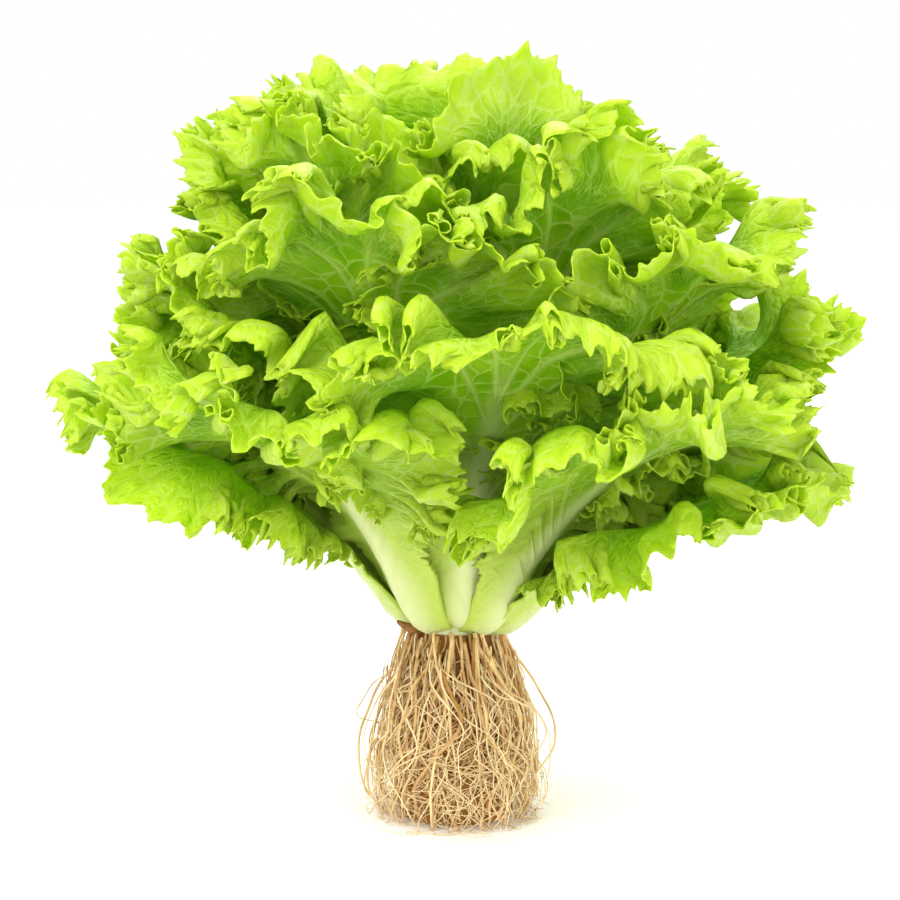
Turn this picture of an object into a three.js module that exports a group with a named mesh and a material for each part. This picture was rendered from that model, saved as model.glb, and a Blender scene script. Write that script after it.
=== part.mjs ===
// A head of loose, curly-leaved lettuce lifted whole, standing on its own mat of roots.
//
// Millimetres, +Z up. The origin is on the surface that the roots stand on, under the stem's axis.
// The front is -Y, and a leaf's azimuth is its turn from the front towards +X.
//
// The leaves climb the stem in a golden-angle spiral, the lowest and widest spread first and the
// upright heart leaves last. Each leaf lies in a bowl of its own around the stem, and each bowl
// stands a little steeper than the one before, so that no two leaves meet. A leaf's place in its
// bowl is given by its reach, the distance from the crown point where the bowls come together, and
// by its side angle, the turn round the stem from the leaf's own midrib.

import * as THREE from "three";

// Roots and stem.
const ROOT_HEIGHT = 72;
const ROOT_TOP_RADIUS = 21;
const ROOT_FOOT_RADIUS = 33;
const ROOT_STRANDS = 9; // thick strands that show as ridges round the root mat
const ROOT_RIDGE = 1.5;
const ROOT_FLARE = 0.8; // the power that the mat widens by downwards: under 1 is a bell, 1 a cone
const STEM_RADIUS = 15;
const STEM_HEIGHT = 30; // from the crown point to the stem's tip
const ROOT_COLLAR_RADIUS = 20; // the plate under the stem that the roots grow from
const ROOT_COLLAR_THICKNESS = 2.2;
const ROOT_COLLAR_CHAMFER = 1;
const CROWN_GAP = 0.2; // the crown point's height above the collar
const CLEARANCE = 0.3; // between pieces that touch

// The leaves' arrangement. The spiral has SPIRAL_PLACES, and the leaves of SHED_PLACES have gone, as
// the lowest leaves of a lifted head often have.
const SPIRAL_PLACES = 28;
const SHED_PLACES = [2];
const GOLDEN_ANGLE = 137.508;
const FIRST_AZIMUTH = 74.5;

// The lowest bowl's slope seen from the crown point, in degrees: it leaves the stem at a low angle,
// rises, and droops again towards its rim. The highest bowl is steep all the way.
const LOW_START = 4;
const LOW_RISE = 28;
const LOW_RISE_REACH = 25;
const LOW_DROOP = 9;
const HIGH_SLOPE = 86;
const HIGH_DROOP = 3;

// A leaf's length by its place in the spiral: the low leaves are the shortest, the tall ones stand
// behind the heart, and the heart leaves are a little shorter.
const LOW_LENGTH = 168;
const TALL_LENGTH = 211;
const HEART_LENGTH = 208;
const TALLEST_AT = 0.8;

// A leaf's half width: a broad clasping base and a fan-shaped blade with a rounded top. The base's
// clasp is how far round the stem it reaches to each side, in degrees.
const BASE_CLASP = 46;
const BLADE_HALF_WIDTH = 118;
const HEART_HALF_WIDTH = 84;
const TIP_HALF_WIDTH = 5;
const FAN_POWER = 1.4; // how late the blade spreads: higher is later
const ROUND_POWER = 6; // how square the blade's top is: higher is squarer
const WRAP_GAP = 2.75; // a leaf reaches half the golden angle to each side, less this, in degrees

// A leaf's thickness: the midrib is fleshy near the stem and thins out towards the tip. At the stem
// it is the angle that the base fills, in degrees seen from the crown point, so that bases nest.
const RIB_BASE_ANGLE = 9.2;
const RIB_THICKNESS = 4;
const RIB_THICKEST_REACH = 45;
const BLADE_THICKNESS = 1.1;

// The broad waves of the blade, which grow from the midrib to the margin.
const WAVE_HEIGHT = 3;
const WAVES = 6.4; // half waves between the stem and the tip
const WAVE_SLANT = 1.6; // half waves between the midrib and the margin
const WAVE_STEP = 2; // the waves' turn in radians from one leaf to the next
const WAVE_POWER = 1.5; // how late the waves grow along the leaf

// How finely the pieces are faceted.
const LEAF_ROWS = 10;
const LEAF_COLUMNS = 8;
const STEM_LEVELS = 8;
const STEM_SIDES = 28;
const ROOT_LEVELS = 8;
const ROOT_SIDES = 36;

const LEAF_GREEN = new THREE.Color("#a4d020");
const STEM_CREAM = new THREE.Color("#dfeab0");
const ROOT_TAN = new THREE.Color("#d3ab71");

const radians = THREE.MathUtils.degToRad;
const mix = THREE.MathUtils.lerp;
const crownHeight = ROOT_HEIGHT + CLEARANCE + ROOT_COLLAR_THICKNESS + CROWN_GAP;
const baseHalfWidth = STEM_RADIUS * radians(BASE_CLASP);
const ribBaseThickness = STEM_RADIUS * radians(RIB_BASE_ANGLE);
const mostWrap = radians(GOLDEN_ANGLE / 2 - WRAP_GAP);

// The slope, seen from the crown point, of the bowl at a height share of 0 (lowest) to 1 (highest).
function bowlSlope(share, reach) {
  const rise = LOW_RISE * (1 - Math.exp(-reach / LOW_RISE_REACH));
  const fall = Math.min(1, reach / TALL_LENGTH) ** 3;
  return radians(mix(LOW_START + rise - LOW_DROOP * fall, HIGH_SLOPE - HIGH_DROOP * fall, share));
}

// The reach at which a ray of this slope leaves the stem, whose upper part is half an ellipsoid.
function stemReach(slope) {
  return (
    (STEM_RADIUS * STEM_HEIGHT) /
    Math.hypot(STEM_HEIGHT * Math.cos(slope), STEM_RADIUS * Math.sin(slope))
  );
}

// Where a leaf starts: just clear of the stem, all through its thickness.
function leafStart(share) {
  const near = stemReach(bowlSlope(share, STEM_RADIUS));
  const innerFace = bowlSlope(share, near) + ribBaseThickness / near;
  return stemReach(innerFace) + CLEARANCE;
}

function leafLength(share) {
  if (share < TALLEST_AT) {
    return mix(LOW_LENGTH, TALL_LENGTH, Math.sin((share / TALLEST_AT) * (Math.PI / 2)));
  }
  const past = (share - TALLEST_AT) / (1 - TALLEST_AT);
  return mix(TALL_LENGTH, HEART_LENGTH, past ** 2);
}

function halfWidth(share, along) {
  const blade = mix(BLADE_HALF_WIDTH, HEART_HALF_WIDTH, share);
  const fan = along ** FAN_POWER * Math.sqrt(Math.max(0, 1 - along ** ROUND_POWER));
  return Math.max(TIP_HALF_WIDTH, baseHalfWidth * (1 - along) + blade * fan);
}

function ribThickness(reach, length) {
  if (reach < RIB_THICKEST_REACH) {
    return mix(ribBaseThickness, RIB_THICKNESS, reach / RIB_THICKEST_REACH);
  }
  const past = (reach - RIB_THICKEST_REACH) / (length - RIB_THICKEST_REACH);
  return mix(RIB_THICKNESS, BLADE_THICKNESS, past);
}

// A point of a leaf: along runs from 0 at the stem to 1 at the tip, across from -1 to 1 between the
// margins, and depth from -0.5 on the outer face to 0.5 on the inner one.
function leafPoint(leaf, along, across, depth) {
  const reach = mix(leaf.start, leaf.length, along);
  const slope = bowlSlope(leaf.share, reach);
  const radius = reach * Math.cos(slope);
  const wrap = Math.min(halfWidth(leaf.share, along) / radius, mostWrap);
  const side = across * wrap;

  const ribShare = (1 - across ** 2) ** 2;
  const thickness = mix(BLADE_THICKNESS, ribThickness(reach, leaf.length), ribShare);
  const ripple = Math.sin(Math.PI * (WAVES * along + WAVE_SLANT * across) + leaf.phase);
  const wave = WAVE_HEIGHT * across ** 2 * along ** WAVE_POWER * ripple;
  const tilt = slope + (wave + depth * thickness) / reach;

  const heading = leaf.azimuth + side;
  return new THREE.Vector3(
    reach * Math.cos(tilt) * Math.sin(heading),
    -reach * Math.cos(tilt) * Math.cos(heading),
    reach * Math.sin(tilt),
  );
}

// A closed slab between two faces of the same grid, given as functions of row and column.
function slabGeometry(rows, columns, innerFace, outerFace) {
  const corners = [];
  const triangles = [];
  const width = columns + 1;
  const faceSize = width * (rows + 1);
  for (const face of [innerFace, outerFace]) {
    for (let row = 0; row <= rows; row++) {
      for (let column = 0; column <= columns; column++) {
        corners.push(face(row, column));
      }
    }
  }
  const quad = (a, b, c, d) => triangles.push(a, c, b, a, d, c);
  const inner = (row, column) => row * width + column;
  const outer = (row, column) => faceSize + inner(row, column);
  for (let row = 0; row < rows; row++) {
    for (let column = 0; column < columns; column++) {
      const [r, c] = [row + 1, column + 1];
      quad(inner(row, column), inner(row, c), inner(r, c), inner(r, column));
      quad(outer(row, column), outer(r, column), outer(r, c), outer(row, c));
    }
  }
  for (let row = 0; row < rows; row++) {
    quad(inner(row, 0), inner(row + 1, 0), outer(row + 1, 0), outer(row, 0));
    quad(outer(row, columns), outer(row + 1, columns), inner(row + 1, columns), inner(row, columns));
  }
  for (let column = 0; column < columns; column++) {
    quad(outer(0, column), outer(0, column + 1), inner(0, column + 1), inner(0, column));
    quad(inner(rows, column), inner(rows, column + 1), outer(rows, column + 1), outer(rows, column));
  }
  return new THREE.BufferGeometry().setFromPoints(corners).setIndex(triangles);
}

function material(color) {
  return new THREE.MeshStandardMaterial({ color, roughness: 0.5, metalness: 0 });
}

function piece(name, geometry, color) {
  const mesh = new THREE.Mesh(geometry, material(color));
  mesh.name = name;
  return mesh;
}

function makeLeaf(place, number) {
  const share = place / (SPIRAL_PLACES - 1);
  const leaf = {
    share,
    azimuth: radians(FIRST_AZIMUTH + place * GOLDEN_ANGLE),
    length: leafLength(share),
    start: leafStart(share),
    phase: place * WAVE_STEP,
  };
  const face = (depth) => (row, column) =>
    leafPoint(leaf, row / LEAF_ROWS, (2 * column) / LEAF_COLUMNS - 1, depth);
  const geometry = slabGeometry(LEAF_ROWS, LEAF_COLUMNS, face(0.5), face(-0.5));
  return piece(`leaf_${String(number).padStart(2, "0")}`, geometry, LEAF_GREEN);
}

// The short stem that every leaf grows from, with the root collar under it.
function makeStem() {
  const collarTop = ROOT_COLLAR_THICKNESS;
  const profile = [
    new THREE.Vector2(0, 0),
    new THREE.Vector2(ROOT_COLLAR_RADIUS - ROOT_COLLAR_CHAMFER, 0),
    new THREE.Vector2(ROOT_COLLAR_RADIUS, ROOT_COLLAR_CHAMFER),
    new THREE.Vector2(STEM_RADIUS, collarTop),
  ];
  for (let level = 0; level < STEM_LEVELS; level++) {
    const turn = (level / STEM_LEVELS) * (Math.PI / 2);
    const height = collarTop + CROWN_GAP + STEM_HEIGHT * Math.sin(turn);
    profile.push(new THREE.Vector2(STEM_RADIUS * Math.cos(turn), height));
  }
  profile.push(new THREE.Vector2(0, collarTop + CROWN_GAP + STEM_HEIGHT));
  const geometry = new THREE.LatheGeometry(profile, STEM_SIDES);
  geometry.rotateX(Math.PI / 2);
  const stem = piece("stem", geometry, STEM_CREAM);
  stem.position.z = ROOT_HEIGHT + CLEARANCE;
  return stem;
}

// The root mat: a bell of matted roots with a flat foot and shallow ridges.
function makeRoots() {
  const profile = [new THREE.Vector2(0, 0)];
  for (let level = 0; level <= ROOT_LEVELS; level++) {
    const up = level / ROOT_LEVELS;
    const radius = mix(ROOT_TOP_RADIUS, ROOT_FOOT_RADIUS, (1 - up) ** ROOT_FLARE);
    profile.push(new THREE.Vector2(radius, up * ROOT_HEIGHT));
  }
  profile.push(new THREE.Vector2(0, ROOT_HEIGHT));
  const geometry = new THREE.LatheGeometry(profile, ROOT_SIDES);
  geometry.rotateX(Math.PI / 2);
  const places = geometry.getAttribute("position");
  for (let i = 0; i < places.count; i++) {
    const heading = Math.atan2(places.getY(i), places.getX(i));
    const radius = Math.hypot(places.getX(i), places.getY(i));
    const ridge = (ROOT_RIDGE * Math.cos(ROOT_STRANDS * heading)) / ROOT_FOOT_RADIUS;
    const scale = radius > 0 ? 1 + ridge : 1;
    places.setXY(i, places.getX(i) * scale, places.getY(i) * scale);
  }
  return piece("roots", geometry, ROOT_TAN);
}

const lettuce = new THREE.Group();
lettuce.add(makeRoots(), makeStem());

const foliage = new THREE.Group();
foliage.position.z = crownHeight;
for (let place = 0; place < SPIRAL_PLACES; place++) {
  if (!SHED_PLACES.includes(place)) foliage.add(makeLeaf(place, foliage.children.length + 1));
}
lettuce.add(foliage);

export default lettuce;
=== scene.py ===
# A head of loose, frilly-leaved lettuce that stands on its own mat of bare roots.
#
# Metres, +Z up, with the origin under the stem on the surface that the roots stand on.
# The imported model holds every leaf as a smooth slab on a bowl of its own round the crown, the point
# where the leaves come together. Each leaf is measured from the frame and made again here as a
# thin sheet on the same bowl, with a fleshy rib, a rolled and ruffled margin and fine teeth. The
# solid root mat is made again as a tangle of single roots.

import math

import bmesh
import bpy
import numpy as np
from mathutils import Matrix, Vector


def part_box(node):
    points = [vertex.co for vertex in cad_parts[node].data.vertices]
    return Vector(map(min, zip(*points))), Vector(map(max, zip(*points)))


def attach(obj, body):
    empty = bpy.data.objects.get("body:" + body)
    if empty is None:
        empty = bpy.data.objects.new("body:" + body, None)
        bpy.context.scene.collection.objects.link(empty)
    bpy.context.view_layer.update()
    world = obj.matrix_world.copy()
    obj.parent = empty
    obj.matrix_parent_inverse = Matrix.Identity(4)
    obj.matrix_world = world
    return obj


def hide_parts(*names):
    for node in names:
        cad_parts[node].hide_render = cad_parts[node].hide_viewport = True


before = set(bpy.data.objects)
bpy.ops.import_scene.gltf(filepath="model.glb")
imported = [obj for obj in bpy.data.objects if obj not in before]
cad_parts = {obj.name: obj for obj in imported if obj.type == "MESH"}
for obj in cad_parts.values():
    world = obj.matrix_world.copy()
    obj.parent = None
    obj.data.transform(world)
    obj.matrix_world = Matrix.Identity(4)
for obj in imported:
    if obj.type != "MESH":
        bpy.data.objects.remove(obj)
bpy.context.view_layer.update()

MM = 0.001
SEED = 7

# ---- Sizes ----

# The crown point, where the leaves come together, is this far under the tip of the stem.
STEM_HEIGHT = 30 * MM

# A leaf's outline on its bowl.
BASE_HALF_WIDTH = 11 * MM
ROUND_POWER = 5  # how blunt the end of the blade is
FULLNESS = 1.5  # the half width of the flat blade over its slab's
MORE_WRAP = 1.25  # how far a leaf may reach round the head, over its slab's reach
OUTLINE_POINTS = 400
# A low and a high leaf's length over its slab's, because its margin ruffles past that.
SHORTER = (0.94, 0.99)
# A slab counts as low below the first mean slope, as high above the second, and as a mix between.
LOW_TO_HIGH = (math.radians(35), math.radians(65))
# Low leaves hang by this angle at their tips, and their wings by the next.
HANG = math.radians(6)
WING_HANG = math.radians(22)

# How single leaves differ from the rest: a share of the length, how far the wings hang as a share of
# the usual, how many degrees the margin rolls out, and how much narrower the lower blade is.
USUAL = (1.0, 1.0, 16, 1.45)
TRAITS = {
    "leaf_01": (0.98, 0.2, 28, 1.45),
    "leaf_03": (1.0, 0.6, 16, 1.45),
    "leaf_04": (1.0, 1.1, 24, 1.45),
    "leaf_05": (1.0, 0.7, 8, 2.1),
    "leaf_07": (0.98, 1.7, 22, 2.1),
    "leaf_10": (1.03, 0.6, 72, 1.45),
    "leaf_12": (0.94, 1.0, 30, 1.45),
    "leaf_15": (1.0, 1.0, 70, 1.45),
    "leaf_18": (1.0, 1.0, 50, 1.45),
    "leaf_19": (0.96, 1.0, 16, 1.45),
    "leaf_21": (0.94, 1.0, 16, 1.45),
    "leaf_22": (1.06, 1.0, 10, 1.45),
    "leaf_23": (0.92, 1.0, 70, 1.45),
    "leaf_24": (0.94, 1.0, 16, 1.45),
    "leaf_25": (0.96, 1.0, 16, 1.45),
}

# All the bases clasp the foot of the stem and turn in under the head at their very ends.
CLASP_RADIUS = 13.0 * MM
CLASP_LEAN = 0.25  # how fast that radius shrinks for the bases higher up
CLASP_REACH = 18 * MM  # how far up a leaf its base is drawn in
CLASP_DEPTH = 2 * MM  # how far under the crown point a base ends
MOST_DROP = 15 * MM  # no base comes down further than this
TUCK = 7.5 * MM
TUCK_REACH = 6 * MM

# Side veins run in a bend from the midrib to the margin.
RIB_END = 0.6  # where the midrib ends and the last veins fan out, as a share of the leaf's length
VEIN_LIFT = 0.9  # how far a vein climbs on its way out, over its width
TIP_ROUND = 18 * MM  # how near the tip the veins turn from one side's to the other's
VEIN_BEND = (0.36, 0.56)  # how far out and how far up the middle of the bend lies
SIDE_VEIN_SPACING = 24 * MM
SIDE_VEIN_HEIGHT = 0.35 * MM

# The margin, from s = 0 on the midrib to s = 1 on the leaf's edge.
ROLL_START = 0.5
ROLL_WANDER = (50, 38 * MM)  # how many degrees the roll wanders by, and over what distance
TEETH_START = 0.88  # the teeth stretch the blade from here on

# The sheet's grid: lines across the blade at its middle, and where they double towards the margin.
LINES = 400
LEVELS = 22
MARGIN_CROWDING = 1.25  # how much closer the levels lie at the margin
EDGE_DOUBLINGS = (0.72, 0.93, 0.98)

# Four sizes of fold, each growing out of the one before: the length along the flat margin of one
# fold, how far its flanks turn out of the sheet, and the share of the blade where it starts.
FOLDS = (
    (44 * MM, 50, 0.18),
    (16 * MM, 132, 0.45),
    (6.4 * MM, 118, 0.62),
    (2.8 * MM, 70, 0.84),
)
FOLD_FADE = (0.08, 0.58)  # where round the margin the folds begin and are full, from base to tip
FOLD_STEP = 0.2 * MM
FOLD_ROWS = 25
FOLD_WINDOW = 45 * MM  # the folds gather the margin evenly over this distance
LEAST_GATHER = 0.2  # the flat margin's length over the folded one's is never under this

# Teeth along the folded margin: the distance between two and the height of one.
TOOTH_CLUSTER = (10 * MM, 5.5 * MM)
SMALL_TOOTH = (3.9 * MM, 3.0 * MM)

BLADE_THICKNESS = 0.35 * MM
RIB_THICKNESS = 5.5 * MM
RIB_HALF_WIDTH = 7.5 * MM
RIB_TIP_HALF_WIDTH = 0.9 * MM
BASE_THICKNESS = 2.0 * MM
BASE_REACH = 30 * MM  # how far up the blade stays fleshy
BASE_ROUND = 9 * MM  # the very end of a base thins out over this distance
THICKNESS_LEVELS = 50
WELD = 0.02 * MM

# The root mat widens from its top to its foot, and each of its roots is a tube with rings.
ROOT_TOP = 73.5 * MM
ROOT_TOP_RADIUS = 18.5 * MM
ROOT_FOOT_RADIUS = 33 * MM
HEART_SHARE = 0.72  # the dense heart's radius over the mat's
# Starts and ends are shares of the mat's height from its top, and past 1 a root lies on the floor.
# Wiggle is how far a root wanders round the axis in slow and in quick bends, in radians.
ROOT_KINDS = {
    "thick_roots": {
        "count": 88,
        "rings": 40,
        "sides": 7,
        "radius": 0.75 * MM,
        "taper": 0.5,
        "starts": (0, 0.02),
        "ends": (0.90, 1.08),
        "wiggle": (0.34, 0.03),
        "floor_run": 26 * MM,
    },
    "thin_roots": {
        "count": 330,
        "rings": 34,
        "sides": 4,
        "radius": 0.40 * MM,
        "taper": 0.5,
        "starts": (0, 0.22),
        "ends": (0.7, 1.16),
        "wiggle": (0.6, 0.12),
        "floor_run": 40 * MM,
    },
    "rootlets": {
        "count": 260,
        "rings": 28,
        "sides": 3,
        "radius": 0.24 * MM,
        "taper": 0.6,
        "starts": (0.1, 0.8),
        "ends": (0.6, 1.25),
        "wiggle": (0.8, 0.30),
        "floor_run": 44 * MM,
    },
}
STRAY_CHANCE = 0.07
STRAY_REACH = (0.1, 0.38)  # how far a stray arcs out, over the mat's radius

STEM_FLESH_RADIUS = 13 * MM

# The camera, the lights and the floor.
FRAME_HEIGHT = 339 * MM
LENS = 100.0
SENSOR = 36.0
CAMERA_ELEVATION = 9.0
LOOK_AT = (-2 * MM, 0, 141 * MM)
LIT_HEIGHT = 0.15  # the lights aim at the axis, this far up
LIGHTS = {
    # name: place, size, power
    "key": ((-0.8, -1.0, 1.5), 0.7, 24),
    "fill": ((1.3, -1.1, 0.7), 1.2, 7),
    "back": ((0.2, 1.0, 1.3), 1.2, 18),
}
FLOOR_HALF_SIDE = 4.0


def smooth_step(low, high, value):
    share = np.clip((value - low) / (high - low), 0, 1)
    return share * share * (3 - 2 * share)


def wander(along, step, draw):
    """A smooth random curve between -1 and 1 that turns about once every step."""
    knots = np.arange(along.min() - step, along.max() + 3 * step, step)
    heights = draw.uniform(-1, 1, len(knots))
    place = (along - knots[0]) / step
    left = np.clip(np.floor(place).astype(int), 0, len(knots) - 2)
    share = place - left
    ease = share * share * (3 - 2 * share)
    return heights[left] * (1 - ease) + heights[left + 1] * ease


def unit(vectors):
    return vectors / np.maximum(np.linalg.norm(vectors, axis=-1, keepdims=True), 1e-12)


# ---- The leaf's bowl, measured from its CAD slab ----

crown = np.array([0, 0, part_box("stem")[1].z - STEM_HEIGHT])


def read_points(mesh):
    points = np.empty(len(mesh.vertices) * 3, np.float32)
    mesh.vertices.foreach_get("co", points)
    return points.reshape(-1, 3).astype(float)


def measure_bowl(name):
    """The rows of a slab lie at equal distances from the crown: its slope and width row by row."""
    points = read_points(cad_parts[name].data) - crown
    reach = np.linalg.norm(points, axis=1)
    middle = unit(points.mean(0) * [1, 1, 0])
    azimuth = math.atan2(middle[0], -middle[1])
    heading = np.arctan2(points[:, 0], -points[:, 1]) - azimuth
    heading = (heading + np.pi) % (2 * np.pi) - np.pi
    same_row = 0.5 * MM
    rows = np.unique(np.round(reach, 4))
    rows = rows[np.append(True, np.diff(rows) > same_row)]
    slopes, wraps = [], []
    for row in rows:
        near = np.abs(reach - row) < same_row
        slopes.append(np.arcsin(points[near, 2] / reach[near]).mean())
        wraps.append(np.ptp(heading[near]) / 2)
    slopes, wraps = np.array(slopes), np.array(wraps)
    half_widths = wraps * rows * np.cos(slopes)
    along = (rows - rows[0]) / (rows[-1] - rows[0])
    share, wings, rolled, fan = TRAITS.get(name, USUAL)
    lowness = 1 - smooth_step(*LOW_TO_HIGH, slopes.mean())
    foot_up = rows[0] * np.sin(slopes[0])
    foot_out = rows[0] * np.cos(slopes[0])
    return {
        "azimuth": azimuth,
        "slope": np.polyfit(along, slopes, 4),
        "length": rows[-1],
        "start": rows[0],
        "half_width": FULLNESS * half_widths.max(),
        "most_wrap": MORE_WRAP * wraps.max(),
        "hang": HANG * lowness,
        "shorter": share * (SHORTER[1] + (SHORTER[0] - SHORTER[1]) * lowness),
        "wing_hang": wings * WING_HANG * lowness,
        "fan": fan,
        "rolled": rolled,
        "spread": CLASP_RADIUS - CLASP_LEAN * foot_up - foot_out,
        "drop": min(foot_up + CLASP_DEPTH, MOST_DROP),
    }


def bowl_point(bowl, side, reach):
    """The point at a distance side from the midrib, measured round the bowl, and a reach."""
    along = np.clip((reach - bowl["start"]) / (bowl["length"] - bowl["start"]), 0, 1.05)
    wing = np.clip(side / bowl["half_width"], -1.1, 1.1)
    slope = np.polyval(bowl["slope"], along)
    slope = slope - bowl["hang"] * along**2 - bowl["wing_hang"] * wing**2 * along
    radius = np.maximum(reach * np.cos(slope), 1 * MM)
    limit = bowl["most_wrap"]
    heading = bowl["azimuth"] + limit * np.tanh(side / radius / limit)
    above = np.maximum(reach - bowl["start"], 0)
    foot = np.exp(-((above / CLASP_REACH) ** 2))
    tuck = np.exp(-((above / TUCK_REACH) ** 2))
    out = reach * np.cos(slope) + foot * bowl["spread"] - tuck * TUCK
    up = reach * np.sin(slope) - foot * bowl["drop"]
    return np.stack([out * np.sin(heading), -out * np.cos(heading), up], axis=-1)


# ---- The flat leaf ----


def outline(bowl):
    """Half of the leaf's margin from the base to the tip, and the distance walked along it."""
    along = 1 - np.linspace(1, 0, OUTLINE_POINTS) ** 2
    length = bowl["length"] * bowl["shorter"]
    fan = along ** bowl["fan"] * np.sqrt(1 - along**ROUND_POWER)
    side = BASE_HALF_WIDTH * (1 - along) + bowl["half_width"] * fan
    reach = bowl["start"] + (length - bowl["start"]) * along
    walked = np.append(0, np.cumsum(np.hypot(np.diff(side), np.diff(reach))))
    return side, reach, walked


def flat_leaf(bowl, edge):
    """Returns a function from (t, s) to (side, reach).

    t runs round the margin from one side of the base over the tip to the other, and s runs from the
    midrib out along a side vein.
    """
    side, reach, walked = edge

    def place(t, s):
        half = (1 - np.abs(2 * t - 1)) * walked[-1]
        hand = np.where(t < 0.5, -1.0, 1.0)
        end_side = np.interp(half, walked, side)
        end_reach = np.interp(half, walked, reach)
        lift = VEIN_LIFT * (np.hypot(end_side, TIP_ROUND) - TIP_ROUND)
        rib_share = (end_reach - lift - bowl["start"]) / (reach[-1] - bowl["start"])
        rib_share = RIB_END * np.maximum(rib_share, 0.02 * half / walked[-1])
        rib_reach = bowl["start"] + rib_share * (reach[-1] - bowl["start"])
        bend_side = VEIN_BEND[0] * end_side
        bend_reach = rib_reach + VEIN_BEND[1] * (end_reach - rib_reach)
        x = 2 * s * (1 - s) * bend_side + s**2 * end_side
        y = (1 - s) ** 2 * rib_reach + 2 * s * (1 - s) * bend_reach + s**2 * end_reach
        return hand * x, y

    return place


# ---- Folds ----


def fold_table(edge_length, lift, draw):
    """How far the folds move the sheet along its margin and out of it, and how long it then is.

    Rows are shares from the midrib, and columns are distances round the margin.
    """
    along = np.arange(0, edge_length + FOLD_STEP, FOLD_STEP)
    shares = np.linspace(0, 1, FOLD_ROWS)
    turn = np.zeros((len(shares), len(along)))
    for length, swing, start in FOLDS:
        speed = 1 + 0.45 * wander(along, length * 1.7, draw)
        phase = 2 * np.pi * np.cumsum(speed) * FOLD_STEP / length + draw.uniform(0, 6)
        strength = np.radians(swing) * (0.9 + 0.38 * wander(along, length * 1.4, draw))
        grown = smooth_step(start, 1.05, shares)[:, None] ** 0.8
        turn += grown * strength * lift(along) * np.sin(phase)
    forward, out = np.cos(turn), np.sin(turn)
    window = np.ones(int(FOLD_WINDOW / FOLD_STEP))
    weight = np.convolve(np.ones_like(along), window, "same")

    def mean(rows):
        return np.array([np.convolve(row, window, "same") for row in rows]) / weight

    gather = np.maximum(mean(forward), LEAST_GATHER)
    shift = np.cumsum(forward / gather - 1, axis=1) * FOLD_STEP
    rise = np.cumsum(out / gather, axis=1) * FOLD_STEP
    true_length = np.cumsum(1 / gather[-1]) * FOLD_STEP
    return along, shares, shift - mean(shift), rise - mean(rise), true_length


def look_up(table, along, shares, u, s):
    """Reads a table of rows by share and columns by distance, straight-line between its cells."""
    column = np.clip(u / (along[1] - along[0]), 0, len(along) - 1.001)
    row = np.clip(s * (len(shares) - 1), 0, len(shares) - 1.001)
    c, r = column.astype(int), row.astype(int)
    dc, dr = column - c, row - r
    top = table[r, c] * (1 - dc) + table[r, c + 1] * dc
    bottom = table[r + 1, c] * (1 - dc) + table[r + 1, c + 1] * dc
    return top * (1 - dr) + bottom * dr


def roll(share, most):
    """Where a strip that bends out by an angle of most * share**2 has got to, along and out."""
    nodes, weights = np.polynomial.legendre.leggauss(10)
    nodes = (nodes + 1) / 2
    bend = most[:, None] * (share[:, None] * nodes) ** 2
    ahead = (np.cos(bend) * weights / 2).sum(1) * share
    out = (np.sin(bend) * weights / 2).sum(1) * share
    return ahead, out


# ---- A leaf ----


def leaf_sheet(lines, levels):
    """A flat grid with t along x and s along y, finer towards the margin."""
    grid = bmesh.new()
    bmesh.ops.create_grid(grid, x_segments=lines, y_segments=levels, size=0.5)
    for vertex in grid.verts:
        t, s = vertex.co.x + 0.5, vertex.co.y + 0.5
        vertex.co = (t, 1 - (1 - s) ** MARGIN_CROWDING, 0)
    for share in EDGE_DOUBLINGS:
        across = [
            edge
            for edge in grid.edges
            if abs(edge.verts[0].co.y - edge.verts[1].co.y) < 1e-6
            and edge.verts[0].co.y > share
        ]
        bmesh.ops.subdivide_edges(grid, edges=across, cuts=1, use_grid_fill=True)
    bmesh.ops.reverse_faces(grid, faces=grid.faces)
    mesh = bpy.data.meshes.new("leaf_sheet")
    grid.to_mesh(mesh)
    grid.free()
    return mesh


def teeth(u_true, draw):
    """How far the margin stands out: tooth clusters with hollows between them, and small teeth."""
    speed = 1 + 0.5 * wander(u_true, 14 * MM, draw)
    steps = np.append(0, np.diff(u_true))
    big = np.cumsum(steps * speed) / TOOTH_CLUSTER[0]
    speed = 1 + 0.4 * wander(u_true, 5 * MM, draw)
    small = np.cumsum(steps * speed) / SMALL_TOOTH[0]
    cluster = (1 - np.abs(np.sin(np.pi * big))) ** 1.1
    point = (1 - np.abs(np.sin(np.pi * small))) ** 1.2
    size = 0.8 + 0.5 * wander(u_true, 8 * MM, draw)
    return (TOOTH_CLUSTER[1] * cluster + SMALL_TOOTH[1] * point) * size


def frame_at(surface, t, start, tiny):
    """The sheet's own directions where the roll starts: round the margin, outwards and up."""
    round_it = unit(surface(t + tiny, start + tiny) - surface(t - tiny, start + tiny))
    outward = surface(t, start + tiny) - surface(t, start - tiny)
    speed = np.linalg.norm(outward, axis=1, keepdims=True) / (2 * tiny)
    outward = unit(outward - round_it * (outward * round_it).sum(1, keepdims=True))
    return round_it, outward, np.cross(round_it, outward), speed


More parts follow.
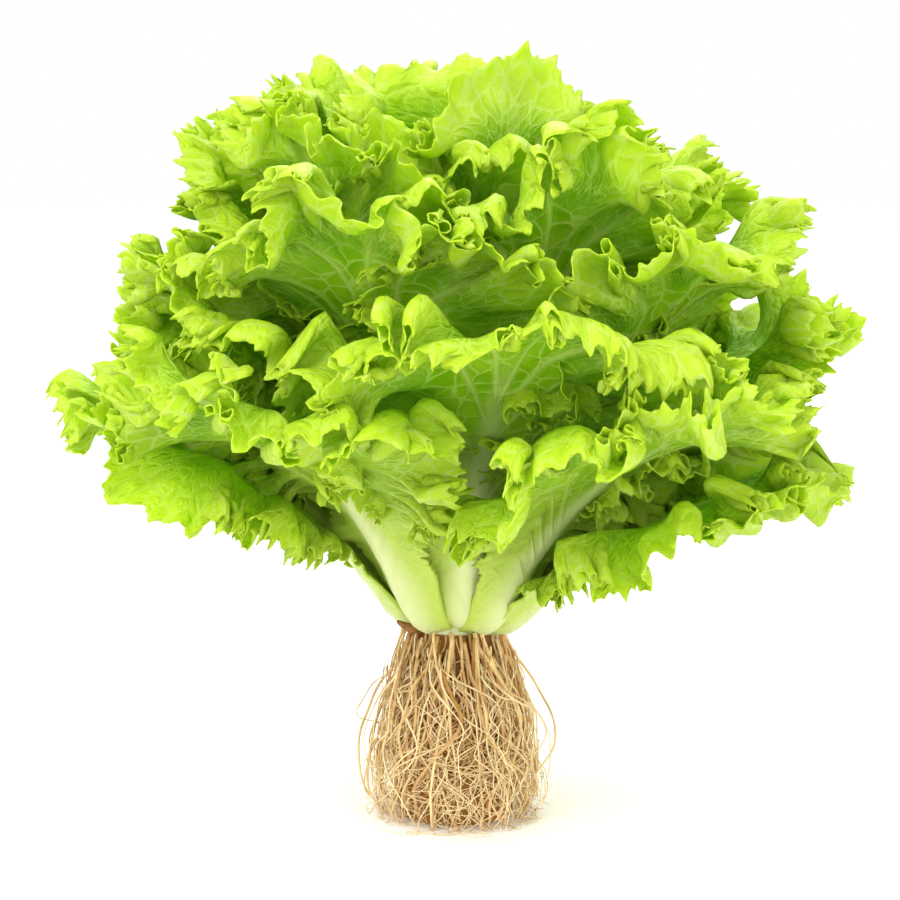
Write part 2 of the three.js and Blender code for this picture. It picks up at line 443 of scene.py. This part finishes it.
def leaf_points(bowl, t, s, draw):
    """Where the grid's points go, and what the materials read at each of them."""
    edge = outline(bowl)
    place = flat_leaf(bowl, edge)
    edge_length = 2 * edge[2][-1]

    def surface(t, s):
        return bowl_point(bowl, *place(t, s))

    def lift(along):
        """The folds fade towards the base on both sides."""
        half = 1 - np.abs(2 * along / edge_length - 1)
        return smooth_step(*FOLD_FADE, half)

    along, shares, shift, rise, true_length = fold_table(edge_length, lift, draw)
    u = t * edge_length

    # The teeth stretch the last of the blade, and the base has none.
    tooth = teeth(true_length, draw) * np.clip(lift(along) * 5, 0, 1)
    vein = np.linalg.norm(surface(t, 1 + 0 * s) - surface(t, 0 * s), axis=1) + 5 * MM
    stretch = np.interp(u, along, tooth) / vein * smooth_step(TEETH_START, 1, s)

    tiny = 1e-4
    start = np.minimum(s, ROLL_START)
    safe_t = np.clip(t, 2 * tiny, 1 - 2 * tiny)
    round_it, outward, normal, speed = frame_at(surface, safe_t, start, tiny)

    # The normal points into the bowl on one side or out of it: out is away from the axis.
    flat = surface(t, start)
    facing = np.sign((normal * (flat * [1, 1, 0] - [0, 0, 0.3])).sum(1, keepdims=True))
    normal = normal * facing

    # The margin rolls outwards, more in some places than in others.
    past = np.clip((s - ROLL_START) / (1 - ROLL_START), 0, 1.2)
    swing, step = ROLL_WANDER
    most = np.radians(bowl["rolled"] + swing * wander(along, step, draw))
    most = np.interp(u, along, most * lift(along))
    ahead, out = roll(past + stretch / (1 - ROLL_START), most)
    reach = (1 - ROLL_START) * speed
    points = flat + reach * (ahead[:, None] * outward + out[:, None] * normal)
    bend = most * past**2
    folded_normal = np.cos(bend)[:, None] * normal - np.sin(bend)[:, None] * outward

    # The folds shrink with the sheet towards the midrib.
    here = np.linalg.norm(surface(safe_t + tiny, s) - surface(safe_t - tiny, s), axis=1)
    scale = np.clip(here / (2 * tiny * edge_length), 0.1, 1.0)
    dx = look_up(shift, along, shares, u, s) * scale
    dn = look_up(rise, along, shares, u, s) * scale
    points += dx[:, None] * round_it + dn[:, None] * folded_normal

    frill = np.stack([np.interp(u, along, true_length), s * vein, s], 1)
    side, reach = place(t, s)
    flat = np.stack([side, reach - bowl["start"], side_veins(u, s, scale, edge_length, draw)], 1)
    return points, frill, flat


def leaf_thickness(bowl, side, above, vein):
    """A thin blade, a thick rib that tapers up the leaf, fleshy bases and raised side veins."""
    up_rib = np.clip(above / (RIB_END * (bowl["length"] - bowl["start"])), 0, 1)
    width = RIB_HALF_WIDTH * (1 - up_rib) ** 0.9 + RIB_TIP_HALF_WIDTH
    rib = RIB_THICKNESS * (1 - up_rib) ** 1.1 * np.exp(-((side / width) ** 2))
    base = BASE_THICKNESS * np.exp(-((above / BASE_REACH) ** 2))
    rounded = 0.4 + 0.6 * smooth_step(0, BASE_ROUND, above)
    return BLADE_THICKNESS + (rib + base) * rounded + SIDE_VEIN_HEIGHT * vein


def side_veins(u, s, scale, edge_length, draw):
    """How near each point is to the middle of a side vein: 1 on it and 0 beyond its edge."""
    places = np.arange(0, edge_length + SIDE_VEIN_SPACING, SIDE_VEIN_SPACING)
    places = places + draw.uniform(-0.3, 0.3, len(places)) * SIDE_VEIN_SPACING
    gap = np.abs(u[:, None] - places[None, :]).min(1) * scale
    width = 0.5 * MM + 1.2 * MM * (1 - s)
    ends = smooth_step(0.02, 0.12, s) * (1 - smooth_step(0.55, 0.95, s))
    return np.exp(-((gap / width) ** 2)) * ends


def add_layer(mesh, name, vectors):
    """Stores a vector at each point, for a material to read by its name."""
    layer = mesh.attributes.new(name, "FLOAT_VECTOR", "POINT")
    layer.data.foreach_set("vector", vectors.astype(np.float32).ravel())


def thicken(leaf, weights, most):
    """Makes the sheet a closed shell inwards from its upper face, as thick as its weights say."""
    group = leaf.vertex_groups.new(name="thickness")
    levels = np.ceil(weights * THICKNESS_LEVELS).astype(int)
    for level in np.unique(levels):
        group.add(np.flatnonzero(levels == level).tolist(), level / THICKNESS_LEVELS, "REPLACE")
    shell = leaf.modifiers.new("shell", "SOLIDIFY")
    shell.thickness = most
    shell.offset = -1
    shell.vertex_group = group.name
    shell.thickness_vertex_group = 0
    shell.material_offset = 1
    shell.material_offset_rim = 0


def make_leaf(name, number, sheet):
    draw = np.random.default_rng(SEED * 1000 + number)
    bowl = measure_bowl(name)
    mesh = sheet.copy()
    mesh.name = f"{name}_blade"
    t, s, _ = read_points(mesh).T
    points, frill, flat = leaf_points(bowl, t, s, draw)
    points += crown
    mesh.vertices.foreach_set("co", points.astype(np.float32).ravel())
    thickness = leaf_thickness(bowl, *flat.T)
    most = thickness.max()
    weight = mesh.attributes.new("weight", "FLOAT", "POINT")
    weight.data.foreach_set("value", (thickness / most).astype(np.float32))
    add_layer(mesh, "frill", frill)
    add_layer(mesh, "flat", flat)

    # Both sides of the base meet on the midrib, where their points are made one.
    welded = bmesh.new()
    welded.from_mesh(mesh)
    bmesh.ops.remove_doubles(welded, verts=welded.verts, dist=WELD)
    welded.to_mesh(mesh)
    welded.free()
    mesh.shade_smooth()
    weights = np.empty(len(mesh.vertices), np.float32)
    mesh.attributes["weight"].data.foreach_get("value", weights)
    mesh.attributes.remove(mesh.attributes["weight"])

    leaf = bpy.data.objects.new(f"{name}_blade", mesh)
    bpy.context.scene.collection.objects.link(leaf)
    thicken(leaf, weights, most)
    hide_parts(name)
    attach(leaf, "root")
    return leaf


# ---- Materials ----


def linear(hex_colour):
    """An sRGB hex colour as linear values."""
    parts = [int(hex_colour[i : i + 2], 16) / 255 for i in (1, 3, 5)]
    return [p / 12.92 if p <= 0.04045 else ((p + 0.055) / 1.055) ** 2.4 for p in parts] + [1]


def add_node(tree, kind, links=None, **settings):
    """Adds a node: settings name its inputs or properties, and links join its inputs to outputs."""
    node = tree.nodes.new(kind)
    for key, value in settings.items():
        label = key.replace("_", " ")
        if label in node.inputs:
            node.inputs[label].default_value = value
        else:
            setattr(node, key, value)
    for key, output in (links or {}).items():
        tree.links.new(output, node.inputs[key])
    return node


def value_node(tree, operation, a, b=None, c=None):
    """A Math node: each of a, b and c is a number or an output."""
    node = tree.nodes.new("ShaderNodeMath")
    node.operation = operation
    for place, value in enumerate((a, b, c)):
        if value is None:
            continue
        if isinstance(value, (int, float)):
            node.inputs[place].default_value = value
        else:
            tree.links.new(value, node.inputs[place])
    return node.outputs[0]


def fade(tree, value, low, high):
    """0 below low and 1 above high, or the other way round if low is over high, eased between."""
    node = add_node(tree, "ShaderNodeMapRange", {"Value": value}, interpolation_type="SMOOTHSTEP")
    node.inputs["From Min"].default_value = min(low, high)
    node.inputs["From Max"].default_value = max(low, high)
    if low > high:
        node.inputs["To Min"].default_value = 1
        node.inputs["To Max"].default_value = 0
    return node.outputs[0]


def blend(tree, share, first, second):
    """Mixes two colours, each an output or a hex colour, by a share that is an output or number."""
    node = tree.nodes.new("ShaderNodeMix")
    node.data_type = "RGBA"
    for socket, value in ((0, share), (6, first), (7, second)):
        if isinstance(value, str):
            node.inputs[socket].default_value = linear(value)
        elif isinstance(value, (int, float)):
            node.inputs[socket].default_value = value
        else:
            tree.links.new(value, node.inputs[socket])
    return node.outputs[2]


def new_tree(name):
    material = bpy.data.materials.new(name)
    material.use_nodes = True
    tree = material.node_tree
    tree.nodes.clear()
    return material, tree


def noise(tree, vector, size):
    """A soft random pattern with spots of this size."""
    return add_node(tree, "ShaderNodeTexNoise", {"Vector": vector}, Scale=1 / size)


def vein_net(tree, place, size):
    """The distance from the net of small veins, whose cells of this size are slightly bent."""
    bend = noise(tree, place, 6 * MM)
    shifted = add_node(
        tree,
        "ShaderNodeVectorMath",
        {0: bend.outputs["Color"], 2: place},
        operation="MULTIPLY_ADD",
    )
    shifted.inputs[1].default_value = (3 * MM, 3 * MM, 0)
    net = add_node(
        tree,
        "ShaderNodeTexVoronoi",
        {"Vector": shifted.outputs[0]},
        feature="DISTANCE_TO_EDGE",
        Scale=1 / size,
    )
    return net.outputs["Distance"]


def leaf_material(name, colours, relief, roughness, light_through):
    """Lettuce blade.

    The colours run from the hollows over the middle to the frilled margin, then the veins, the pale
    lower blade and the rib. Relief above 0 puffs the cells up between the veins.
    """
    material, tree = new_tree(name)
    hollow, middle, margin, vein_colour, base_colour, rib_colour = colours
    frill = add_node(tree, "ShaderNodeAttribute", attribute_name="frill")
    flat = add_node(tree, "ShaderNodeAttribute", attribute_name="flat").outputs["Vector"]
    u, v, s = add_node(tree, "ShaderNodeSeparateXYZ", {0: frill.outputs["Vector"]}).outputs
    x, y, line = add_node(tree, "ShaderNodeSeparateXYZ", {0: flat}).outputs

    # On the blade the net of veins follows the flat leaf, and on the ruffles it follows the margin,
    # with smaller cells in it.
    across = add_node(tree, "ShaderNodeCombineXYZ", {0: u, 1: v}).outputs[0]
    spread = add_node(tree, "ShaderNodeCombineXYZ", {0: x, 1: y}).outputs[0]
    coarse_net = vein_net(tree, across, 7.0 * MM)
    fine_net = vein_net(tree, across, 2.8 * MM)
    blade_net = vein_net(tree, spread, 8.5 * MM)
    ruffled = fade(tree, s, 0.50, 0.72)
    on_blade = value_node(tree, "SUBTRACT", fade(tree, s, 0.05, 0.2), ruffled)
    coarse = value_node(tree, "MULTIPLY", fade(tree, coarse_net, 0.085, 0.015), ruffled)
    fine = value_node(tree, "MULTIPLY", fade(tree, fine_net, 0.12, 0.02), ruffled)
    blade = value_node(tree, "MULTIPLY", fade(tree, blade_net, 0.07, 0.012), on_blade)
    veins = value_node(tree, "MULTIPLY_ADD", fine, 0.3, coarse)
    veins = value_node(tree, "MAXIMUM", veins, blade)
    veins = value_node(tree, "MAXIMUM", veins, value_node(tree, "MULTIPLY", line, 1.25))
    veins = value_node(tree, "MINIMUM", veins, 1.2)

    # Patches of deeper and lighter green a few centimetres across.
    patch = fade(tree, noise(tree, flat, 28 * MM).outputs[0], 0.35, 0.65)
    colour = blend(tree, patch, hollow, middle)
    colour = blend(tree, fade(tree, s, 0.62, 1.0), colour, margin)
    strength = value_node(tree, "MULTIPLY", veins, 0.62)
    colour = blend(tree, strength, colour, vein_colour)

    # The lower blade is pale, and palest on the rib.
    low = fade(tree, y, 132 * MM, 4 * MM)
    low = value_node(tree, "POWER", low, 1.3)
    colour = blend(tree, low, colour, base_colour)
    off_rib = value_node(tree, "ABSOLUTE", x)
    rib_width = value_node(tree, "MULTIPLY_ADD", y, -0.05, 11 * MM)
    near_rib = value_node(tree, "DIVIDE", off_rib, rib_width)
    rib = fade(tree, near_rib, 1.0, 0.15)
    rib = value_node(tree, "MULTIPLY", rib, fade(tree, y, 150 * MM, 40 * MM))
    colour = blend(tree, rib, colour, rib_colour)

    # A tan edge where the leaf comes away from the stem.
    colour = blend(tree, fade(tree, y, 4 * MM, 0.5 * MM), colour, "#b99a5c")

    # The cells between the veins are puffed, with a fine grain over them.
    on_ruffle = value_node(tree, "MULTIPLY", fade(tree, coarse_net, 0.0, 0.35), ruffled)
    small = value_node(tree, "MULTIPLY", fade(tree, fine_net, 0.0, 0.3), ruffled)
    puffed = value_node(tree, "MULTIPLY_ADD", small, 0.3, on_ruffle)
    flatter = value_node(tree, "MULTIPLY", fade(tree, blade_net, 0.0, 0.35), on_blade)
    puffed = value_node(tree, "ADD", puffed, flatter)
    grain = noise(tree, flat, 1.6 * MM)
    height = value_node(tree, "MULTIPLY_ADD", grain.outputs[0], 0.15, puffed)
    bump = add_node(
        tree, "ShaderNodeBump", {"Height": height}, Strength=1.0, Distance=relief
    ).outputs[0]
    surface = add_node(
        tree,
        "ShaderNodeBsdfPrincipled",
        {"Base Color": colour, "Normal": bump},
        Roughness=roughness,
        Specular_IOR_Level=0.28,
    )
    through = add_node(tree, "ShaderNodeBsdfTranslucent", {"Color": colour, "Normal": bump})

    # The thick lower blade and rib let less light through.
    solid = value_node(tree, "MAXIMUM", low, rib)
    share = value_node(tree, "MULTIPLY_ADD", solid, -0.7 * light_through, light_through)
    mixed = add_node(
        tree,
        "ShaderNodeMixShader",
        {0: share, 1: surface.outputs[0], 2: through.outputs[0]},
    )
    add_node(tree, "ShaderNodeOutputMaterial", {"Surface": mixed.outputs[0]})
    return material


# The upper face: fresh saturated green that turns yellow-green on the frills.
leaf_face = leaf_material(
    "fresh_leaf_face",
    ("#7cc200", "#aede04", "#d4ee34", "#d8f068", "#c2d858", "#dfe99c"),
    relief=0.7 * MM,
    roughness=0.40,
    light_through=0.42,
)
# The outer face: paler and smoother, with raised cream veins and rib.
leaf_back = leaf_material(
    "fresh_leaf_back",
    ("#90c80c", "#b4dc24", "#d4ee34", "#e0f084", "#c4d95c", "#e2eaa6"),
    relief=-0.35 * MM,
    roughness=0.36,
    light_through=0.42,
)


def strand_material(name, dark, pale, roughness):
    """Washed root: golden tan, browner near the crown, each root a slightly different shade."""
    material, tree = new_tree(name)
    strand = add_node(tree, "ShaderNodeAttribute", attribute_name="strand").outputs["Vector"]
    shade, depth, _ = add_node(tree, "ShaderNodeSeparateXYZ", {0: strand}).outputs
    place = add_node(tree, "ShaderNodeTexCoord").outputs["Object"]
    blotch = noise(tree, place, 5 * MM)
    mix = value_node(tree, "MULTIPLY_ADD", blotch.outputs[0], 0.5, shade)
    mix = value_node(tree, "ADD", mix, -0.25)
    mix = value_node(tree, "MULTIPLY_ADD", depth, 0.35, mix)
    colour = blend(tree, fade(tree, mix, 0.0, 1.0), dark, pale)
    bump = add_node(
        tree, "ShaderNodeBump", {"Height": blotch.outputs[0]}, Strength=0.6, Distance=0.3 * MM
    )
    surface = add_node(
        tree,
        "ShaderNodeBsdfPrincipled",
        {"Base Color": colour, "Normal": bump.outputs[0]},
        Roughness=roughness,
    )
    add_node(tree, "ShaderNodeOutputMaterial", {"Surface": surface.outputs[0]})
    return material


# ---- The roots and the stem, as tubes ----


def tube_template(rings, sides):
    """A closed tube of unit radius with a ring at every whole height, to be bent along a path."""
    tube = bmesh.new()
    bmesh.ops.create_circle(tube, cap_ends=True, segments=sides, radius=1)
    top = list(tube.faces)
    for ring in range(rings - 1):
        grown = bmesh.ops.extrude_face_region(tube, geom=top, use_keep_orig=ring == 0)["geom"]
        verts = [g for g in grown if isinstance(g, bmesh.types.BMVert)]
        top = [g for g in grown if isinstance(g, bmesh.types.BMFace)]
        bmesh.ops.translate(tube, verts=verts, vec=(0, 0, 1))
    bmesh.ops.recalc_face_normals(tube, faces=tube.faces)
    mesh = bpy.data.meshes.new("tube")
    tube.to_mesh(mesh)
    tube.free()
    return mesh


def make_tubes(name, paths, radii, shades, sides):
    """Joins one tube per path into a mesh. Paths are tubes x rings x 3, radii tubes x rings."""
    count, rings = radii.shape
    template = tube_template(rings, sides)
    cage = read_points(template)
    joined = bmesh.new()
    for _ in range(count):
        joined.from_mesh(template)
    mesh = bpy.data.meshes.new(name)
    joined.to_mesh(mesh)
    joined.free()
    ring = np.round(cage[:, 2]).astype(int)
    ahead = unit(np.gradient(paths, axis=1))
    guide = unit(paths[:, -1] - paths[:, 0] + 1e-5)[:, None] * np.ones_like(ahead)
    guide = unit(np.cross(guide, [0.36, 0.48, 0.8]))
    side = unit(np.cross(ahead, guide))
    other = np.cross(ahead, side)
    offset = side[:, ring] * cage[None, :, :1] + other[:, ring] * cage[None, :, 1:2]
    points = paths[:, ring] + radii[:, ring, None] * offset
    mesh.vertices.foreach_set("co", points.astype(np.float32).ravel())
    strand = np.zeros(points.shape)
    strand[:, :, 0] = shades[:, None]
    strand[:, :, 1] = 1 - points[:, :, 2] / ROOT_TOP
    add_layer(mesh, "strand", strand)
    mesh.update()
    fixed = bmesh.new()
    fixed.from_mesh(mesh)
    bmesh.ops.recalc_face_normals(fixed, faces=fixed.faces)
    fixed.to_mesh(mesh)
    fixed.free()
    mesh.shade_smooth()
    tubes = bpy.data.objects.new(name, mesh)
    bpy.context.scene.collection.objects.link(tubes)
    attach(tubes, "root")
    return tubes


def mat_radius(depth):
    """The root mat's radius at a share of its height from the top: it spreads and then tucks in."""
    spread = ROOT_TOP_RADIUS + (ROOT_FOOT_RADIUS - ROOT_TOP_RADIUS) * (1 - (1 - depth) ** 2.2)
    return spread * (1 - 0.1 * smooth_step(0.88, 1.0, depth))


def wander_all(along, step, draw, count):
    return np.array([wander(along, step, draw) for _ in range(count)])


def root_paths(kind, draw):
    """Roots that run down through the mat and wander sideways; the last of each lies on the floor."""
    count = kind["count"]
    along = np.linspace(0, 1, kind["rings"])
    start = draw.uniform(*kind["starts"], count)[:, None]
    end = draw.uniform(*kind["ends"], count)[:, None]
    depth = start + (end - start) * along
    out_share = np.sqrt(draw.uniform(0.25, 1, count))[:, None]
    out_share = out_share + 0.10 * wander_all(along, 0.4, draw, count)
    # A few stray away from the mat in a wide arc.
    strays = (draw.uniform(0, 1, count) > 1 - STRAY_CHANCE)[:, None]
    stray = strays * draw.uniform(*STRAY_REACH, count)[:, None]
    out_share = out_share + stray * np.sin(np.pi * along) ** 2
    azimuth = draw.uniform(0, 2 * np.pi, count)[:, None]
    azimuth = azimuth + draw.uniform(-0.7, 0.7, count)[:, None] * along
    azimuth = azimuth + kind["wiggle"][0] * wander_all(along, 0.42, draw, count)
    azimuth = azimuth + kind["wiggle"][1] * wander_all(along, 0.13, draw, count)
    past = np.maximum(depth - 1, 0)
    out = mat_radius(np.minimum(depth, 1)) * out_share + kind["floor_run"] * past
    out = out + 1.6 * MM * wander_all(along, 0.3, draw, count)
    up = ROOT_TOP * (1 - np.minimum(depth, 1))
    up = up + 2.0 * MM * wander_all(along, 0.15, draw, count) * (depth < 0.93)
    # On the floor they lie on each other, and none goes under it.
    heap = np.minimum(past * 8 * MM, 2 * MM) * (1 + wander_all(along, 0.2, draw, count))
    up = np.maximum(up, kind["radius"]) + heap
    return np.stack([out * np.sin(azimuth), -out * np.cos(azimuth), up], axis=-1)


def make_roots():
    draw = np.random.default_rng(SEED)
    # Golden tan roots, and paler thinner ones.
    thick_skin = strand_material("root_skin", "#b67a30", "#fbd79c", 0.55)
    thin_skin = strand_material("rootlet_skin", "#cf9a50", "#fde4b2", 0.6)
    tubes = []
    for name, kind in ROOT_KINDS.items():
        paths = root_paths(kind, draw)
        thin = np.linspace(1, 1 - kind["taper"], kind["rings"])
        radii = kind["radius"] * (thin * draw.uniform(0.75, 1.2, kind["count"])[:, None])
        shades = draw.uniform(0.1, 0.9, kind["count"])
        tube = make_tubes(name, paths, radii, shades, kind["sides"])
        tube.data.materials.append(thick_skin if name == "thick_roots" else thin_skin)
        tubes.append(tube)
    # A dense heart of matted roots that no light gets through, coloured a darker brown that is
    # painted shade.
    rings = 40
    depth = np.linspace(0, 1, rings)
    core = np.stack([0 * depth, 0 * depth, ROOT_TOP * (1 - depth)], axis=-1)
    core[:, 2] = np.maximum(core[:, 2], 1 * MM)
    core[:, 2] += np.linspace(1, 0, rings) * 0.01 * MM
    wide = mat_radius(depth) * HEART_SHARE
    heart = make_tubes("root_heart", core[None], wide[None], np.array([0.1]), sides=40)
    # Painted shade: the heart wears the darker brown of the shade between the roots.
    heart.data.materials.append(strand_material("root_heart_painted_shade", "#8a5820", "#c08c48", 0.8))
    tubes.append(heart)
    for tube in tubes:
        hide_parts("roots")


def stem_material():
    """Cut-pale lettuce stem: smooth, moist and cream-green."""
    material, tree = new_tree("stem_flesh")
    surface = add_node(tree, "ShaderNodeBsdfPrincipled", Roughness=0.4)
    surface.inputs["Base Color"].default_value = linear("#dfe6b4")
    add_node(tree, "ShaderNodeOutputMaterial", {"Surface": surface.outputs[0]})
    return material


def make_stem():
    """A rounded cone in the middle of the leaf bases."""
    share = np.linspace(0, 1, 24)
    low, high = ROOT_TOP - 1 * MM, crown[2] + STEM_HEIGHT
    path = np.stack([0 * share, 0 * share, low + (high - low) * share], axis=-1)
    wide = STEM_FLESH_RADIUS * (1 - share**2) ** 0.5 + 0.6 * MM
    stem = make_tubes("stem_flesh", path[None], wide[None], np.array([0.5]), sides=40)
    stem.data.materials.append(stem_material())
    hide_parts("stem")


def make_dry_scale():
    """The brown stub of a shed leaf's stalk, at the crown's left."""
    share = np.linspace(0, 1, 14)
    path = np.stack(
        [
            -(15 + 7 * share) * MM,
            -(9 + 1.5 * share) * MM,
            ROOT_TOP + (0.5 + 3.5 * share**1.5) * MM,
        ],
        axis=-1,
    )
    wide = (1.9 * (1 - share) ** 0.6 + 0.35) * MM
    scale = make_tubes("dry_scale", path[None], wide[None], np.array([0.2]), sides=12)
    # Dead leaf stalk: dry, dull and tan-brown.
    scale.data.materials.append(strand_material("dry_scale_skin", "#8a5c28", "#c09050", 0.7))
    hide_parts("stem")


leaf_nodes = sorted(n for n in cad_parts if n.startswith("leaf_"))
sheet = leaf_sheet(LINES, LEVELS)
for number, name in enumerate(leaf_nodes):
    leaf = make_leaf(name, number, sheet)
    leaf.data.materials.append(leaf_face)
    leaf.data.materials.append(leaf_back)
make_roots()
make_stem()
make_dry_scale()

# ---- Stage, light and camera ----


def make_floor():
    """A plain white floor, which meets the white world without a horizon."""
    plane = bmesh.new()
    bmesh.ops.create_grid(plane, x_segments=1, y_segments=1, size=FLOOR_HALF_SIDE)
    mesh = bpy.data.meshes.new("floor")
    plane.to_mesh(mesh)
    plane.free()
    floor = bpy.data.objects.new("floor", mesh)
    bpy.context.scene.collection.objects.link(floor)
    # White paper, bright enough to burn out except where the roots shade it.
    material, tree = new_tree("white_floor")
    paper = add_node(tree, "ShaderNodeBsdfDiffuse")
    paper.inputs["Color"].default_value = linear("#f4f4f4")
    glow = add_node(tree, "ShaderNodeEmission", Strength=0.1)
    both = add_node(tree, "ShaderNodeAddShader", {0: paper.outputs[0], 1: glow.outputs[0]})
    add_node(tree, "ShaderNodeOutputMaterial", {"Surface": both.outputs[0]})
    mesh.materials.append(material)


def look_along(direction):
    return Vector(direction).to_track_quat("-Z", "Y").to_euler()


def make_light(name, place, size, power):
    data = bpy.data.lights.new(name, "AREA")
    data.size = size
    data.energy = power
    light = bpy.data.objects.new(name, data)
    light.location = place
    light.rotation_euler = look_along(np.array([0, 0, LIT_HEIGHT]) - place)
    bpy.context.scene.collection.objects.link(light)


def make_camera():
    data = bpy.data.cameras.new("camera")
    data.lens, data.sensor_width = LENS, SENSOR
    camera = bpy.data.objects.new("camera", data)
    distance = FRAME_HEIGHT * LENS / SENSOR
    lift = math.radians(CAMERA_ELEVATION)
    away = np.array([0, -math.cos(lift), math.sin(lift)]) * distance
    camera.location = np.array(LOOK_AT) + away
    camera.rotation_euler = look_along(-away)
    bpy.context.scene.collection.objects.link(camera)
    bpy.context.scene.camera = camera


make_floor()
for name, (place, size, power) in LIGHTS.items():
    make_light(name, place, size, power)
world = bpy.data.worlds.new("studio")
bpy.context.scene.world = world
world.use_nodes = True
sky = world.node_tree.nodes["Background"]
sky.inputs["Color"].default_value = (1, 1, 1, 1)
sky.inputs["Strength"].default_value = 1.0
make_camera()

bpy.context.scene.view_settings.view_transform = "Standard"
